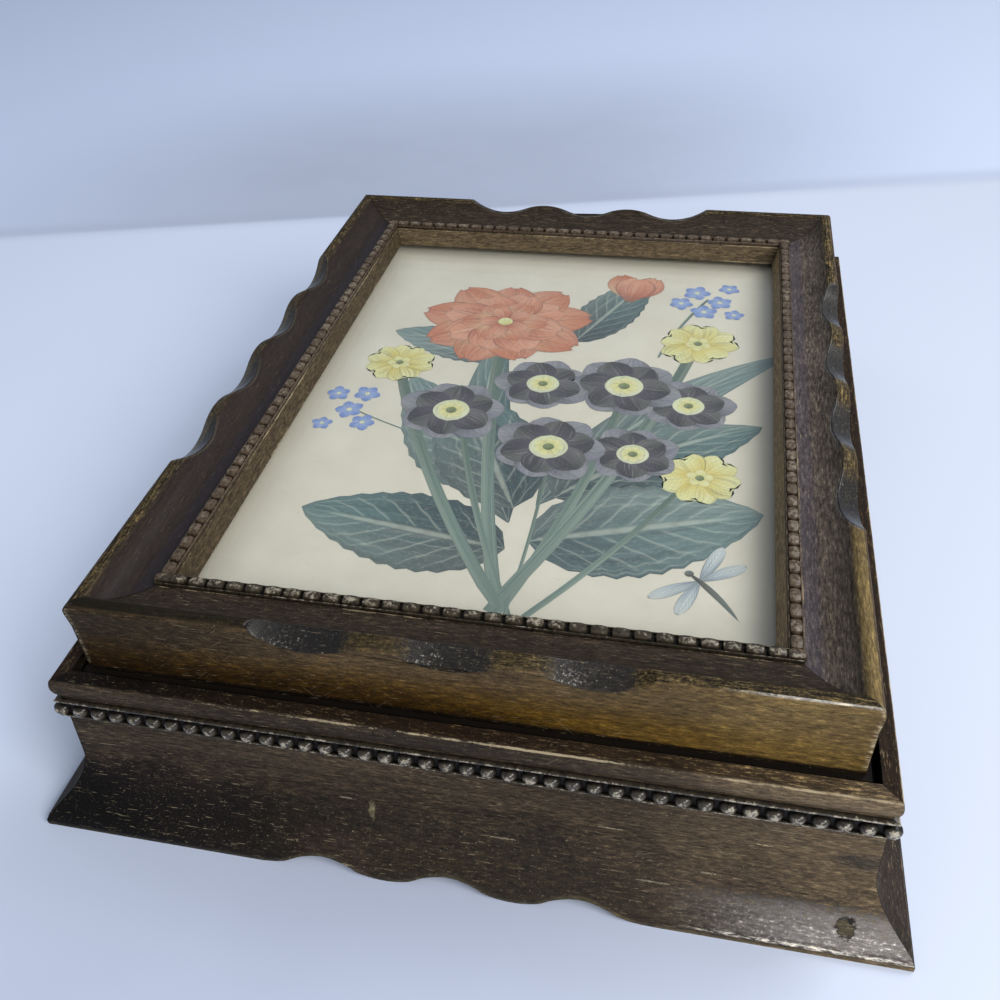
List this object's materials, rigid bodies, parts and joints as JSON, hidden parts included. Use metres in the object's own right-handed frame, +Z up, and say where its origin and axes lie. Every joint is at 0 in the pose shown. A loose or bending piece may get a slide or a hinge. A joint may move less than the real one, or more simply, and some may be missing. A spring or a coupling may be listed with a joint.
{
  "type": "keepsake display box",
  "caption": "Wooden keepsake box with coved, scalloped base moulding and a hinged lid that is a glazed picture frame with gouged lip and beaded inner edge.",
  "frame": {"origin": "on the table, under the middle of the box", "axes": "+Z up, +Y towards the hinges at the back, along the long side, +X to the right seen from the front"},
  "size_m": [0.2116, 0.2626, 0.066],
  "materials": {
    "base_wood": "dark walnut stain under worn varnish, satin, scratched",
    "lid_wood": "dark walnut stain under worn varnish, golden low on the sides",
    "bead_wood": "stained, rubbed pale on the beads",
    "tray_wood": "thin bare softwood boards, lightly stained",
    "panel_board": "thin plywood, unfinished",
    "felt": "matt pressed felt",
    "glass": "clear picture glass",
    "printed_paper": "matt aged paper with a printed bouquet",
    "grey_board": "matt board",
    "steel": "dull steel",
    "brass": "aged brass"
  },
  "bodies": {
    "base": {"base_back_beads": "bead_wood", "base_back_rail": "base_wood", "base_front_beads": "bead_wood", "base_front_rail": "base_wood", "base_left_beads": "bead_wood", "base_left_rail": "base_wood", "base_right_beads": "bead_wood", "base_right_rail": "base_wood", "bottom_brads": "steel", "bottom_panel": "panel_board", "felt_pad": "felt", "hinge_base_screws": "brass", "left_hinge_base_leaf": "brass", "left_hinge_pin": "brass", "right_hinge_base_leaf": "brass", "right_hinge_pin": "brass", "tray_back_board": "tray_wood", "tray_front_board": "tray_wood", "tray_left_board": "tray_wood", "tray_right_board": "tray_wood"},
    "lid": {"backing_board": "grey_board", "framer_points": "steel", "glass_pane": "glass", "hinge_lid_screws": "brass", "left_hinge_lid_leaf": "brass", "lid_back_beads": "bead_wood", "lid_back_rail": "lid_wood", "lid_front_beads": "bead_wood", "lid_front_rail": "lid_wood", "lid_left_beads": "bead_wood", "lid_left_rail": "lid_wood", "lid_right_beads": "bead_wood", "lid_right_rail": "lid_wood", "print_sheet": "printed_paper", "right_hinge_lid_leaf": "brass"}
  },
  "joints": [
    {"name": "lid_hinge", "type": "hinge", "parent": "base", "child": "lid", "pos_m": [0, 0.11559, 0.0473], "axis": [-1, 0, 0], "range_deg": [0, 105]}
  ]
}
